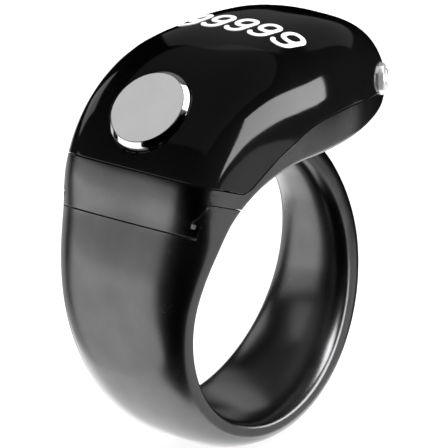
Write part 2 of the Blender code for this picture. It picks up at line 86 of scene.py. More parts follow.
# Straight part: distance along X from the top of the hole, then the same columns.
BAR_FORM = (
    (4.0, 9.45, 7.45, 3.05, 1.45, 3.2, 0.0),
    (8.0, 8.95, 6.45, 3.2, 1.45, 3.2, 0.0),
    (12.0, 7.5, 4.75, 3.2, 1.45, 3.2, 0.0),
    (15.0, 5.1, 2.9, 3.2, 1.45, 3.2, 0.0),
)
TIP_REACH = 16.7
TIP_RISE = 0.9
TIP_TAPER_SIDE = 0.44
TIP_TAPER_TOP = 0.3
TRAVEL_PER_DEGREE = 14.0 / 60.0
SIDE_STEPS = 44                 # points across each side of the body's section
THICKNESS, HALF_WIDTH, CROWN, LIP, INSIDE, BULGE = range(1, 7)  # columns of the body form

# Angles round the hole where the lofted pieces start and end, and their rows of points.
HEAD_FROM = 158.0
CAVITY_FROM = 142.0
BAND_FROM = 426.0
BAND_TO = 126.0
HEAD_ROWS = 84
CAVITY_ROWS = 30
BAND_ROWS = 236
TIP_TURNS = (8, 16, 24, 32, 40, 48, 55, 62, 68, 74, 79, 84, 88)

SPLIT_ANGLE = 20.0
COVER_CORNER = (-7.1, 9.85)
COVER_SPLIT = (
    (-6.6, 9.76),
    (-6.1, 9.89),
    (-5.4, 10.33),
    (-4.0, 11.25),
    (-2.1, 12.2),
    (1.1, 13.25),
    (5.2, 13.4),
    (11.0, 12.6),
    (19.0, 11.5),
)
PARTING_POINT = (-11.83, 7.4)
INTO_HOLE = -8.0
TONGUE_HEIGHT = 2.65
TONGUE_OUTER = -0.6
BARB = ((-0.56, 0.95), (-0.02, 1.15), (-0.56, 2.5))

HINGE = (7.4, 11.35)
KNUCKLE_RADIUS = 1.2
KNUCKLE_HALF = 2.2
PIN_RADIUS = 0.5
PIN_HALF = 3.15
POCKET_HALF = 2.35
POCKET_RIGHT = 9.5
HINGE_WALL = 0.7
BAND_TOP = 9.85

BUTTON_FACE = Vector((-9.25, 0.0, 15.62))
BUTTON_TILT = 44.0
CAP_RADIUS = 3.35
CAP_CHAMFER = 0.35
CAP_ROUNDING = 0.07
FLANGE_RADIUS = 3.85
FLANGE_PLAY = 0.15
FLANGE_LOW = -3.2               # below the cap's face, along the button's axis
FLANGE_HIGH = -1.27
RESET_FACE = Vector((13.35, -3.95, 13.0))
RESET_TURN = -50.0
RESET_RADIUS = 0.82
BEZEL_RADIUS = 1.22
OPEN_END = 6.0                  # how far a bore's cutter stands out past the surface

DIGIT_PITCH = 2.03
DIGIT_HEIGHT = 2.75
DIGIT_WIDTH = 1.66
DIGIT_STROKE = 0.37
DIGIT_SLANT = 0.16
DIGIT_ROW = (1.5, -0.2)
DIGIT_CLIMB = 0.24

# Camera: the direction it looks from, what it is aimed at and how much it frames.
VIEW_AZIMUTH = -50.4
VIEW_ELEVATION = 18.6
VIEW_WIDTH = 33.48
VIEW_SHIFT = (-0.22, 3.9)       # aim, to the right and up from the centre of the hole
LENS = 1200.0
SENSOR = 36.0
CLIP = (0.05, 20.0)             # metres

FLOOR_REACH = 1.5               # metres from the middle to each side
FLOOR_ROWS = 24

# Lamps: name, what it lights, then its azimuth, distance and height, the azimuth and rise it faces
# the object from, its width and height, and its radiance. The low ones are under the floor and
# light the undersides.
LAMPS = (
    ("panel_right", "pieces", 41.4, 212.5, 34.0, (-5.5, 0.0), (203.0, 93.0), 4.4),
    ("panel_left", "pieces", -127.0, 120.0, 10.0, (-127.0, 0.0), (125.0, 45.0), 0.6),
    ("panel_rim", "pieces", 178.0, 190.0, 75.0, (178.0, 18.0), (90.0, 60.0), 0.7),
    ("panel_button", "trims", -155.0, 235.0, 270.0, (-155.0, 48.0), (230.0, 230.0), 0.65),
    ("trim_lamp", "trims", 47.0, 120.0, 210.0, (47.0, 60.0), (240.0, 200.0), 2.0),
    ("streak_lamp", "bands", -16.0, 128.0, 132.0, (-16.0, 45.0), (110.0, 70.0), 6.0),
    ("rear_lamp", "bands", 132.0, 155.0, 92.0, (132.0, 30.0), (130.0, 90.0), 0.35),
    ("inside_lamp", "bands", -116.0, 140.0, 112.0, (-116.0, 39.0), (120.0, 95.0), 0.5),
    ("low_left", "pieces", -127.0, 115.0, -62.0, (-127.0, -28.0), (140.0, 125.0), 1.0),
    ("low_far", "pieces", 163.0, 140.0, -60.0, (163.0, -23.0), (150.0, 120.0), 0.6),
    ("low_right", "pieces", 52.0, 110.0, -75.0, (52.0, -34.0), (150.0, 110.0), 0.45),
    ("low_middle", "pieces", 130.0, 60.0, -150.0, (130.0, -68.0), (260.0, 260.0), 1.15),
    ("fill_back", "pieces", 112.0, 350.0, 190.0, (112.0, 28.0), (420.0, 260.0), 0.12),
    ("fill_top", "pieces", 0.0, 0.0, 700.0, (0.0, 90.0), (1300.0, 1300.0), 0.08),
    ("floor_lamp", "floor", 0.0, 0.0, 1600.0, (0.0, 90.0), (6000.0, 6000.0), 1.6),
)


# --- Body form ---------------------------------------------------------------------------------

def travel(angle):
    """Distance along the body's spine of an angle round the hole; 0 is the top of the hole."""
    return (90.0 - angle) * TRAVEL_PER_DEGREE


FORM = tuple((travel(row[0]), *row[1:]) for row in RING_FORM) + BAR_FORM


def smooth_value(at, column):
    """Cubic curve through one column of FORM."""
    knots = [row[0] for row in FORM]
    values = [row[column] for row in FORM]
    slopes = []
    last = len(FORM) - 1
    for index in range(len(FORM)):
        before = max(index - 1, 0)
        after = min(index + 1, last)
        slopes.append((values[after] - values[before]) / (knots[after] - knots[before]))
    slopes[0] = 2 * slopes[0] - slopes[1]
    slopes[last] = 2 * slopes[last] - slopes[last - 1]
    at = min(max(at, knots[0]), knots[-1])
    index = 0
    while index < last - 1 and at > knots[index + 1]:
        index += 1
    span = knots[index + 1] - knots[index]
    t = (at - knots[index]) / span
    start = (2 * t ** 3 - 3 * t ** 2 + 1) * values[index]
    start_slope = (t ** 3 - 2 * t ** 2 + t) * span * slopes[index]
    end = (3 * t ** 2 - 2 * t ** 3) * values[index + 1]
    end_slope = (t ** 3 - t ** 2) * span * slopes[index + 1]
    return start + start_slope + end + end_slope


def section_at(at):
    """Height, half-width, lip height, crown power and base rise of the body at a spine distance."""
    height = smooth_value(at, THICKNESS)
    half = smooth_value(at, HALF_WIDTH)
    crown = smooth_value(at, CROWN)
    lip = smooth_value(at, LIP)
    reach = BAR_FORM[-1][0]
    if at <= reach:
        return height, half, lip, crown, -smooth_value(at, BULGE)
    share = min((at - reach) / (TIP_REACH - reach), 0.9995)
    closing = math.sqrt(1 - share ** 4)
    height *= closing * (1 - TIP_TAPER_TOP * share)
    half *= closing * (1 - TIP_TAPER_SIDE * share)
    return height, half, lip * closing, crown, TIP_RISE * (1 - closing)


def spine_at(at):
    """Point of the spine on the inside face and its outward direction, both in XZ."""
    if at >= 0:
        return Vector((at, 0, BORE_RADIUS)), Vector((0, 0, 1))
    angle = math.radians(90.0 - at / TRAVEL_PER_DEGREE)
    outward = Vector((math.cos(angle), 0, math.sin(angle)))
    return outward * BORE_RADIUS, outward


def quarter(turn, power):
    """Point of a superellipse of unit size, in the direction of an angle from its side."""
    across = abs(math.cos(turn))
    up = abs(math.sin(turn))
    size = (across ** power + up ** power) ** (1 / power)
    return across / size, up / size


def evenly(start, end, rows):
    """Places along the spine at equal steps, both ends included."""
    return [start + (end - start) * step / rows for step in range(rows + 1)]


def section_ring(at, side=0.0, top=0.0, base=0.0):
    """One closed ring of points; side, top and base shrink it to make an inner surface."""
    height, half, lip, crown, rise = section_at(at)
    half = max(half - side, 0.02 if side == 0 else 0.15)
    height = max(height - top - base, 0.04 if top == 0 else 0.3)
    if base:
        lip = max(lip - 0.5 * base, 0.25)
    lip = min(lip, 0.6 * height)
    origin, outward = spine_at(at)
    origin = origin + outward * (rise + base)
    inside = smooth_value(at, INSIDE)
    right = []
    for step in range(SIDE_STEPS + 1):
        turn = math.radians(-90 + 180 * step / SIDE_STEPS)
        if turn < 0:
            across, up = quarter(turn, inside)
            right.append((half * across, lip - lip * up))
        else:
            across, up = quarter(turn, crown)
            right.append((half * across, lip + (height - lip) * up))
    left = [(-width, level) for width, level in reversed(right[1:-1])]
    profile = [(0.0, right[0][1])] + right[1:-1] + [(0.0, right[-1][1])] + left
    return [origin + outward * level + Vector((0, width, 0)) for width, level in profile]


def crown_height(x, y):
    """Height of the head's outer surface over a point of the straight part."""
    height, half, lip, crown, rise = section_at(max(x, 0.0))
    share = min(abs(y) / half, 0.99)
    return BORE_RADIUS + rise + lip + (height - lip) * (1 - share ** crown) ** (1 / crown)


# --- Solid helpers -----------------------------------------------------------------------------

def new_object(name, mesh):
    item = bpy.data.objects.new(name, mesh)
    bpy.context.scene.collection.objects.link(item)
    return item


def solid_from(name, points, faces):
    """Closed solid from points and faces, with its faces turned outwards."""
    mesh = bpy.data.meshes.new(name)
    mesh.from_pydata([tuple(point) for point in points], [], faces)
    work = bmesh.new()
    work.from_mesh(mesh)
    bmesh.ops.recalc_face_normals(work, faces=work.faces)
    work.to_mesh(mesh)
    work.free()
    return new_object(name, mesh)


def loft(name, rings, ends=True):
    """Solid through a row of equal rings; without ends the last ring joins the first."""
    count = len(rings[0])
    points = [point for ring in rings for point in ring]
    faces = []
    for row in range(len(rings) - 1):
        for column in range(count):
            after = (column + 1) % count
            low = row * count
            high = low + count
            faces.append((low + column, low + after, high + after, high + column))
    final = (len(rings) - 1) * count
    if ends:
        faces.append(tuple(range(count)))
        faces.append(tuple(final + column for column in reversed(range(count))))
    else:
        for column in range(count):
            after = (column + 1) % count
            faces.append((final + column, final + after, after, column))
    return solid_from(name, points, faces)


def frame_matrix(origin, axis):
    """Frame with its Z along the axis and its Y kept as near to world Y as it can be."""
    up = Vector(axis).normalized()
    side = Vector((0, 1, 0)) - up * up.y
    if side.length < 0.1:
        side = Vector((0, 0, 1)) - up * up.z
    side.normalize()
    turn = Matrix((side.cross(up), side, up)).transposed().to_4x4()
    return Matrix.Translation(Vector(origin)) @ turn


def circle(radius, segments):
    steps = [2 * math.pi * step / segments for step in range(segments)]
    return [(radius * math.cos(turn), radius * math.sin(turn)) for turn in steps]


def turned(name, profile, place, segments, closed=False):
    """Solid turned from (radius, height) points; closed joins the profile's two ends."""
    rings = [[place @ Vector((x, y, height)) for x, y in circle(radius, segments)]
             for radius, height in profile]
    return loft(name, rings, ends=not closed)


def prism(name, outline, low, high, place=None):
    """Outline of (x, y) points extruded from low to high along the frame's Z."""
    place = place or Matrix.Identity(4)
    rings = [[place @ Vector((x, y, level)) for x, y in outline] for level in (low, high)]
    return loft(name, rings)


def side_prism(name, outline, half):
    """Outline of (x, z) points extruded along Y to both sides of the middle plane."""
    rings = [[Vector((x, y, z)) for x, z in outline] for y in (-half, half)]
    return loft(name, rings)


def box(name, low, high):
    outline = ((low[0], low[1]), (high[0], low[1]), (high[0], high[1]), (low[0], high[1]))
    return prism(name, outline, low[2], high[2])


def combine(target, tool, operation):
    """Apply one Boolean to the target and drop the tool."""
    modifier = target.modifiers.new("combine", "BOOLEAN")
    modifier.object = tool
    modifier.operation = operation
    modifier.solver = "EXACT"
    graph = bpy.context.evaluated_depsgraph_get()
    result = bpy.data.meshes.new_from_object(target.evaluated_get(graph))
    target.modifiers.clear()
    target.data = result
    bpy.data.objects.remove(tool)
    return target


def cut(target, tool):
    return combine(target, tool, "DIFFERENCE")


def join(target, tool):
    return combine(target, tool, "UNION")


def keep(target, tool):
    return combine(target, tool, "INTERSECT")


# --- Split planes ------------------------------------------------------------------------------

OUTWARD = Vector((-math.cos(math.radians(SPLIT_ANGLE)), 0, math.sin(math.radians(SPLIT_ANGLE))))
ACROSS = Vector((math.sin(math.radians(SPLIT_ANGLE)), 0, math.cos(math.radians(SPLIT_ANGLE))))


def parting_place(outwards, upwards):
    """(x, z) of a place given along and across the parting plane."""
    place = Vector((PARTING_POINT[0], 0, PARTING_POINT[1]))
    place += OUTWARD * outwards + ACROSS * upwards
    return place.x, place.z


def above_parting(name, shift):
    outline = [parting_place(FAR, shift), parting_place(INTO_HOLE, shift)]
    outline += [(-1.0, -2.0), (-1.0, 2 * FAR), parting_place(FAR, 2 * FAR)]
    return side_prism(name, outline, FAR)


def tongue_block(name, grow):
    outer = TONGUE_OUTER + grow
    outline = [parting_place(outer, -1.0), parting_place(outer, TONGUE_HEIGHT + grow)]
    outline += [parting_place(INTO_HOLE, TONGUE_HEIGHT + grow), parting_place(INTO_HOLE, -1.0)]
    return side_prism(name, outline, FAR)


def grown(outline, grow):
    """Convex outline, listed anticlockwise, with every side moved outwards by grow."""
    corners = []
    count = len(outline)
    for index in range(count):
        before = Vector(outline[index - 1])
        here = Vector(outline[index])
        after = Vector(outline[(index + 1) % count])
        first = (here - before).normalized()
        second = (after - here).normalized()
        first_out = Vector((first.y, -first.x))
        second_out = Vector((second.y, -second.x))
        mitre = (first_out + second_out).normalized()
        corners.append(here + mitre * (grow / mitre.dot(first_out)))
    return corners


def barb_block(name, grow, root=None):
    """The spring hook's triangle; root moves its inner side into the tongue."""
    outline = [parting_place(corner.x, corner.y) for corner in grown(BARB, grow)]
    if root is not None:
        low, high = parting_place(root, BARB[0][1]), parting_place(root, BARB[2][1])
        outline = [low, outline[0], outline[1], outline[2], high]
    return side_prism(name, outline, FAR)


def smooth_path(points, steps):
    """Cubic curve through (x, z) points."""
    path = []
    for index in range(len(points) - 1):
        p0 = Vector(points[max(index - 1, 0)])
        p1 = Vector(points[index])
        p2 = Vector(points[index + 1])
        p3 = Vector(points[min(index + 2, len(points) - 1)])
        d1 = max((p1 - p0).length, 1e-6)
        d2 = (p2 - p1).length
        d3 = max((p3 - p2).length, 1e-6)
        m1 = m2 = (p2 - p1) / d2
        if index > 0:
            m1 = ((p1 - p0) / d1 * d2 + (p2 - p1) / d2 * d1) / (d1 + d2)
        if index < len(points) - 2:
            m2 = ((p2 - p1) / d2 * d3 + (p3 - p2) / d3 * d2) / (d2 + d3)
        for step in range(steps):
            t = step / steps
            place = p1 * (2 * t ** 3 - 3 * t ** 2 + 1) + m1 * (d2 * (t ** 3 - 2 * t ** 2 + t))
            place += p2 * (3 * t ** 2 - 2 * t ** 3) + m2 * (d2 * (t ** 3 - t ** 2))
            path.append((place.x, place.y))
    path.append(tuple(points[-1]))
    return path


def cover_zone(name, shift):
    """Everything above the line where the cover meets the housing, lowered by shift."""
    corner = Vector((COVER_CORNER[0], 0, COVER_CORNER[1]))
    start = corner + OUTWARD * FAR
    lead = corner + OUTWARD * 0.9
    run = [(lead.x, lead.z), COVER_CORNER] + list(COVER_SPLIT)
    outline = [(start.x, start.z - shift)]
    outline += [(x, z - shift) for x, z in smooth_path(run, 8)]
    outline += [(FAR, 2 * FAR), (start.x, 2 * FAR)]
    return side_prism(name, outline, FAR)


# --- Head and band -----------------------------------------------------------------------------

def head_form(name):
    reach = BAR_FORM[-1][0]
    stations = evenly(travel(HEAD_FROM), reach, HEAD_ROWS)
    for turn in TIP_TURNS:
        stations.append(reach + (TIP_REACH - reach) * math.sin(math.radians(turn)))
    return loft(name, [section_ring(at) for at in stations])


def head_cavity(name):
    stations = evenly(travel(CAVITY_FROM), BAR_FORM[-1][0] + 0.3, CAVITY_ROWS)
    room = loft(name, [section_ring(at, WALL_SIDE, WALL_TOP, WALL_BASE) for at in stations])
    level = TONGUE_HEIGHT + 0.75
    outline = [parting_place(FAR, level), parting_place(INTO_HOLE, level)]
    outline += [parting_place(INTO_HOLE, -FAR), parting_place(FAR, -FAR)]
    return cut(room, side_prism("cavity_floor", outline, FAR))


def count_frame():
    tilt = math.radians(BUTTON_TILT)
    return frame_matrix(BUTTON_FACE, (-math.sin(tilt), 0, math.cos(tilt)))


def reset_frame():
    turn = math.radians(RESET_TURN)
    return frame_matrix(RESET_FACE, (math.cos(turn), math.sin(turn), 0.0))


def cut_reset_hole(shell):
    bore = circle(RESET_RADIUS + 0.28, 48)
    seat = circle(BEZEL_RADIUS + 0.06, 64)
    cut(shell, prism("reset_bore", bore, -2.6, OPEN_END, reset_frame()))
    return cut(shell, prism("reset_seat", seat, -0.62, OPEN_END, reset_frame()))


def cut_flange_room(shell, high):
    """Room round the count button's flange, up to a height along the button's axis."""
    room = circle(FLANGE_RADIUS + FLANGE_PLAY, 64)
    return cut(shell, prism("flange_room", room, FLANGE_LOW, high, count_frame()))


def hinge_bar(name, radius, half):
    place = frame_matrix((HINGE[0], 0, HINGE[1]), (0, 1, 0))
    return prism(name, circle(radius, 48), -half, half, place)


def make_cover():
    cover = head_form("cover_shell")
    keep(cover, cover_zone("cover_part", 0.0))
    cut(cover, head_cavity("room"))
    bore = circle(CAP_RADIUS + 0.07, 96)
    cut(cover, prism("count_bore", bore, -OPEN_END, OPEN_END, count_frame()))
    cut_flange_room(cover, FLANGE_HIGH)
    return cut_reset_hole(cover)


def make_housing():
    housing = head_form("housing_shell")
    outline = [parting_place(FAR, 0.5 * GAP), parting_place(INTO_HOLE, 0.5 * GAP), (FAR, 6.0)]
    outline += [(FAR, 2 * FAR), (parting_place(FAR, 0.0)[0], 2 * FAR)]
    keep(housing, side_prism("head_part", outline, FAR))
    cut(housing, cover_zone("cover_part", GAP))
    cut(housing, tongue_block("tongue_slot", GAP))
    cut(housing, barb_block("barb_slot", GAP))
    cut(housing, head_cavity("room"))
    left = HINGE[0] - KNUCKLE_RADIUS - GAP
    top = HINGE[1] + KNUCKLE_RADIUS + GAP
    low = (left - HINGE_WALL, -POCKET_HALF - 1.4, BORE_RADIUS + 0.4)
    high = (POCKET_RIGHT + HINGE_WALL, POCKET_HALF + 1.4, top + HINGE_WALL)
    join(housing, box("hinge_block", low, high))
    pocket_low = (left, -POCKET_HALF, 8.0)
    pocket_high = (POCKET_RIGHT, POCKET_HALF, top)
    cut(housing, box("hinge_pocket", pocket_low, pocket_high))
    cut(housing, hinge_bar("pin_hole", PIN_RADIUS + 0.05, PIN_HALF + 0.1))
    cut_reset_hole(housing)
    return cut_flange_room(housing, OPEN_END)


def make_band():
    stations = evenly(travel(BAND_FROM), travel(BAND_TO), BAND_ROWS)
    band = loft("band_shell", [section_ring(at) for at in stations])
    above = above_parting("above", -0.5 * GAP)
    cut(above, tongue_block("tongue", 0.0))
    cut(above, barb_block("barb", 0.0, TONGUE_OUTER - 0.2))
    cut(band, above)
    cut(band, box("above_end", (0.0, -FAR, BAND_TOP), (FAR, FAR, 2 * FAR)))
    neck = [(6.6, 8.3), (8.1, 8.5), (HINGE[0] + 0.75, HINGE[1]), (HINGE[0] - 0.75, HINGE[1])]
    join(band, side_prism("neck", neck, KNUCKLE_HALF))
    join(band, hinge_bar("knuckle", KNUCKLE_RADIUS, KNUCKLE_HALF))
    return cut(band, hinge_bar("knuckle_bore", PIN_RADIUS + 0.05, FAR))


# --- Buttons -----------------------------------------------------------------------------------

def rounded(corners, radius, steps=5):
    """Open profile of (radius, height) corners with each inner corner rounded."""
    path = [corners[0]]
    for index in range(1, len(corners) - 1):
        here = Vector(corners[index])
        before = Vector(corners[index - 1])
        after = Vector(corners[index + 1])
        reach = min(radius, 0.45 * (here - before).length, 0.45 * (after - here).length)
        start = here + (before - here).normalized() * reach
        end = here + (after - here).normalized() * reach
        for step in range(steps + 1):
            t = step / steps
            place = start * (1 - t) ** 2 + here * (2 * t * (1 - t)) + end * t ** 2
            path.append((place.x, place.y))
    path.append(corners[-1])
    return path


def make_count_cap():
    """Cap with a faintly dished face, a polished chamfer and a straight side."""
    inner = CAP_RADIUS - CAP_CHAMFER
    profile = [(0.01, -0.02), (0.5 * inner, -0.015), (inner, 0.0)]
    profile += [(CAP_RADIUS, -CAP_CHAMFER), (CAP_RADIUS, -1.3), (0.01, -1.3)]
    return turned("count_cap", rounded(profile, CAP_ROUNDING), Matrix.Identity(4), 160)


def make_reset_bezel():
    bore = RESET_RADIUS + 0.06
    profile = [(bore, -0.55), (BEZEL_RADIUS, -0.55), (BEZEL_RADIUS, 0.16)]
    profile += [(BEZEL_RADIUS - 0.16, 0.35), (bore + 0.06, 0.35), (bore, 0.28), (bore, -0.5)]
    return turned("reset_bezel", rounded(profile, 0.06, 4), Matrix.Identity(4), 96, closed=True)


def make_reset_cap():
    """Faceted jewel-like cap with a dimple in its crown."""
    profile = [(0.01, 0.3), (0.3, 0.34), (0.48, 0.55), (0.64, 0.55)]
    profile += [(RESET_RADIUS, 0.4), (RESET_RADIUS, -0.7), (0.01, -0.7)]
    return turned("reset_cap", rounded(profile, 0.025, 2), Matrix.Identity(4), 16)


# --- Digits ------------------------------------------------------------------------------------

def ribbon(route, closed, width, low_lift, high_lift):
    """Points and faces of a flat printed stroke with round ends, laid over the cover's crown."""
    count = len(route)
    rings = []
    for index in range(count):
        if closed:
            before, after = route[index - 1], route[(index + 1) % count]
        else:
            before, after = route[max(index - 1, 0)], route[min(index + 1, count - 1)]
        heading = Vector((after[0] - before[0], after[1] - before[1]))
        rings.append((route[index], heading.normalized(), width / 2))
    if not closed:
        start, finish = rings[0], rings[-1]
        cap = []
        for share in (0.97, 0.85, 0.62, 0.33):
            reach = width / 2 * share
            half = width / 2 * math.sqrt(1 - share * share)
            cap.append((reach, half))
        first = [((start[0][0] - start[1].x * r, start[0][1] - start[1].y * r), start[1], h)
                 for r, h in cap]
        last = [((finish[0][0] + finish[1].x * r, finish[0][1] + finish[1].y * r), finish[1], h)
                for r, h in reversed(cap)]
        rings = first + rings + last
    points = []
    for (across, up), heading, half in rings:
        side = Vector((-heading.y, heading.x)) * half
        edge = min(0.03, 0.4 * half)
        inner = side * ((half - edge) / half)
        for offset, lift in ((-side, low_lift), (side, low_lift), (side, high_lift - 0.02),
                             (inner, high_lift), (-inner, high_lift), (-side, high_lift - 0.02)):
            points.append((across + offset.x, up + offset.y, lift))
    faces = []
    total = len(rings)
    for index in range(total if closed else total - 1):
        low = index * 6
        high = ((index + 1) % total) * 6
        for corner in range(6):
            after = (corner + 1) % 6
            faces.append((low + corner, low + after, high + after, high + corner))
    if not closed:
        faces.append(tuple(range(6)))
        faces.append(tuple((total - 1) * 6 + corner for corner in reversed(range(6))))
    return points, faces


def make_digit(number):
    """A nine: a round bowl and a stem that sweeps down and curls back."""
    steps = number - 3
    centre = (DIGIT_ROW[0] + DIGIT_CLIMB * steps, DIGIT_ROW[1] - DIGIT_PITCH * steps)
    half = (DIGIT_WIDTH - DIGIT_STROKE) / 2
    bowl_high = (DIGIT_HEIGHT * 0.62 - DIGIT_STROKE) / 2
    bowl_up = DIGIT_HEIGHT / 2 - DIGIT_STROKE / 2 - bowl_high
    bowl = []
    for step in range(64):
        turn = 2 * math.pi * step / 64
        across, up = quarter(turn, 2.25)
        bowl.append((math.copysign(half * across, math.cos(turn)),
                     bowl_up + math.copysign(bowl_high * up, math.sin(turn))))
    foot = -DIGIT_HEIGHT / 2 + DIGIT_STROKE / 2
    curl_high = bowl_high * 1.02
    tail = [(half, bowl_up + 0.05 - 0.1 * step) for step in range(4)]
    for step in range(25):
        turn = math.radians(-6.0 * step)
        across, up = quarter(turn, 2.3)
        tail.append((math.copysign(half * across, math.cos(turn)),
                     foot + curl_high - curl_high * up))
    points = []
    faces = []
    for route, closed, low, high in ((bowl, True, 0.0, 0.06), (tail, False, 0.005, 0.066)):
        new_points, new_faces = ribbon(route, closed, DIGIT_STROKE, low, high)
        faces += [tuple(len(points) + corner for corner in face) for face in new_faces]
        points += new_points
    placed = []
    for across, up, lift in points:
        x = centre[0] + up
        y = centre[1] - across - DIGIT_SLANT * up
        placed.append((x, y, crown_height(x, y) + lift))
    return solid_from(f"printed_digit_{number}", placed, faces)


# --- Materials ---------------------------------------------------------------------------------

def node(tree, kind, **values):
    made = tree.nodes.new(kind)
    for key, value in values.items():
        setattr(made, key, value)
    return made


def noise(tree, source, scale, detail=4.0, roughness=0.55, stretch=None):
    """Noise over the part's own coordinates; scale counts features to the metre."""
    if stretch:
        mapping = node(tree, "ShaderNodeMapping")
        mapping.inputs["Scale"].default_value = stretch
        tree.links.new(source, mapping.inputs["Vector"])
        source = mapping.outputs["Vector"]
    made = node(tree, "ShaderNodeTexNoise")
    made.inputs["Scale"].default_value = scale
    made.inputs["Detail"].default_value = detail
    made.inputs["Roughness"].default_value = roughness
    tree.links.new(source, made.inputs["Vector"])
    return made.outputs["Fac"]


def ranged(tree, source, low, high, start=0.3, end=0.7):
    """Map a noise onto a span of values."""
    made = node(tree, "ShaderNodeMapRange")
    made.inputs["From Min"].default_value = start
    made.inputs["From Max"].default_value = end
    made.inputs["To Min"].default_value = low
    made.inputs["To Max"].default_value = high
    tree.links.new(source, made.inputs["Value"])
    return made.outputs["Result"]


def mixed(tree, share, first, second):
    made = node(tree, "ShaderNodeMix", data_type="RGBA")
    made.inputs[6].default_value = (*first, 1.0)
    made.inputs[7].default_value = (*second, 1.0)
    tree.links.new(share, made.inputs[0])
    return made.outputs[2]


def finish_of(name, dark, light, rough, metallic=0.0, mottle=350.0, grain=9000.0,
              height=0.0000012, stretch=None, **constants):
    """Material with mottled colour, uneven roughness and a fine surface relief."""
    surface = bpy.data.materials.new(name)
    surface.use_nodes = True
    tree = surface.node_tree
    shader = tree.nodes["Principled BSDF"]
    place = node(tree, "ShaderNodeTexCoord").outputs["Object"]
    blotch = noise(tree, place, mottle, 5.0)
    fine = noise(tree, place, grain, 3.0, 0.6, stretch)
    tree.links.new(mixed(tree, ranged(tree, blotch, 0.0, 1.0), dark, light),
                   shader.inputs["Base Color"])
    even = node(tree, "ShaderNodeMath", operation="MULTIPLY_ADD")
    even.inputs[1].default_value = 0.5
    tree.links.new(ranged(tree, blotch, 0.0, 1.0), even.inputs[0])
    half = node(tree, "ShaderNodeMath", operation="MULTIPLY")
    half.inputs[1].default_value = 0.5
    tree.links.new(ranged(tree, fine, 0.0, 1.0), half.inputs[0])
    tree.links.new(half.outputs[0], even.inputs[2])
    tree.links.new(ranged(tree, even.outputs[0], rough[0], rough[1], 0.0, 1.0),
                   shader.inputs["Roughness"])
    bump = node(tree, "ShaderNodeBump")
    bump.inputs["Distance"].default_value = height
    bump.inputs["Strength"].default_value = 1.0
    tree.links.new(fine, bump.inputs["Height"])
    tree.links.new(bump.outputs["Normal"], shader.inputs["Normal"])
    shader.inputs["Metallic"].default_value = metallic
    for key, value in constants.items():
        shader.inputs[key.replace("_", " ")].default_value = value
    return surface


def make_finishes():
    return {
        "cover_gloss": finish_of("cover_gloss", (0.006, 0.006, 0.0062), (0.009, 0.009, 0.0093),
                                 (0.05, 0.11), mottle=260.0, grain=5000.0, height=0.0000004,
                                 Specular_IOR_Level=0.5),
        "gunmetal": finish_of("gunmetal", (0.135, 0.135, 0.137), (0.165, 0.165, 0.168),
                              (0.22, 0.28), 1.0, grain=14000.0, height=0.000001),
        "satin_silver": finish_of("satin_silver", (0.6, 0.6, 0.61), (0.68, 0.68, 0.69),
                                  (0.26, 0.34), 1.0, grain=3000.0, height=0.0000012,
                                  stretch=(1.0, 18.0, 1.0)),
        "polished": finish_of("polished", (0.78, 0.78, 0.79), (0.86, 0.86, 0.87),
                              (0.06, 0.12), 1.0, height=0.0000003),
        "bright_chrome": finish_of("bright_chrome", (0.84, 0.84, 0.85), (0.92, 0.92, 0.93),
                                   (0.16, 0.24), 0.55, height=0.0000003),
        # White print with an emission on top: the glow is painted light, so the digits shine
        # although they are no lamp.
        "white_print_with_glow": finish_of("white_print_with_glow", (0.8, 0.8, 0.8), (0.88, 0.88, 0.88),
                                 (0.38, 0.52), grain=12000.0, height=0.0000008,
                                 Emission_Color=(1.0, 1.0, 1.0, 1.0), Emission_Strength=1.1),
        "black_plastic": finish_of("black_plastic", (0.012, 0.012, 0.013), (0.022, 0.022, 0.024),
                                   (0.42, 0.6), height=0.000004),
        "silicone": finish_of("silicone", (0.045, 0.045, 0.048), (0.07, 0.07, 0.074),
                              (0.6, 0.78), height=0.000003),
        "board": finish_of("board", (0.01, 0.09, 0.04), (0.02, 0.15, 0.07),
                           (0.3, 0.5), mottle=1400.0, height=0.000004),
        "steel": finish_of("steel", (0.55, 0.55, 0.55), (0.68, 0.68, 0.67),
                           (0.2, 0.32), 1.0, height=0.000001, stretch=(1.0, 1.0, 10.0)),
        "amber_film": finish_of("amber_film", (0.4, 0.17, 0.02), (0.55, 0.27, 0.05),
                                (0.25, 0.4), height=0.000002),
        "ceramic": finish_of("ceramic", (0.36, 0.25, 0.14), (0.5, 0.37, 0.23),
                             (0.45, 0.65), height=0.000004),
    }


FINISH = make_finishes()


def dress(item, finish_name, smooth=32.0):
    """Scale a piece to metres and give it its material and shading."""
    item.data.transform(Matrix.Scale(MM, 4))
    item.data.shade_smooth()
    item.data.set_sharp_from_angle(angle=math.radians(smooth))
    item.data.materials.clear()
    item.data.materials.append(FINISH[finish_name])
    return item


def soften(item, width):
    """Fine rounding along a shell's cut edges."""
    bevel = item.modifiers.new("edge", "BEVEL")
    bevel.width = width * MM
    bevel.segments = 2
    bevel.limit_method = "ANGLE"
    bevel.angle_limit = math.radians(48)
    bevel.harden_normals = False
    bevel.use_clamp_overlap = False
    return item


def place_in(item, place):
    """Put a piece made in its own frame where that frame is, in metres."""
    moved = place.copy()
    moved.translation = place.translation * MM
    item.matrix_world = moved
    return item


def stand_for(item, node_name, body):
    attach(item, body)
    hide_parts(node_name)


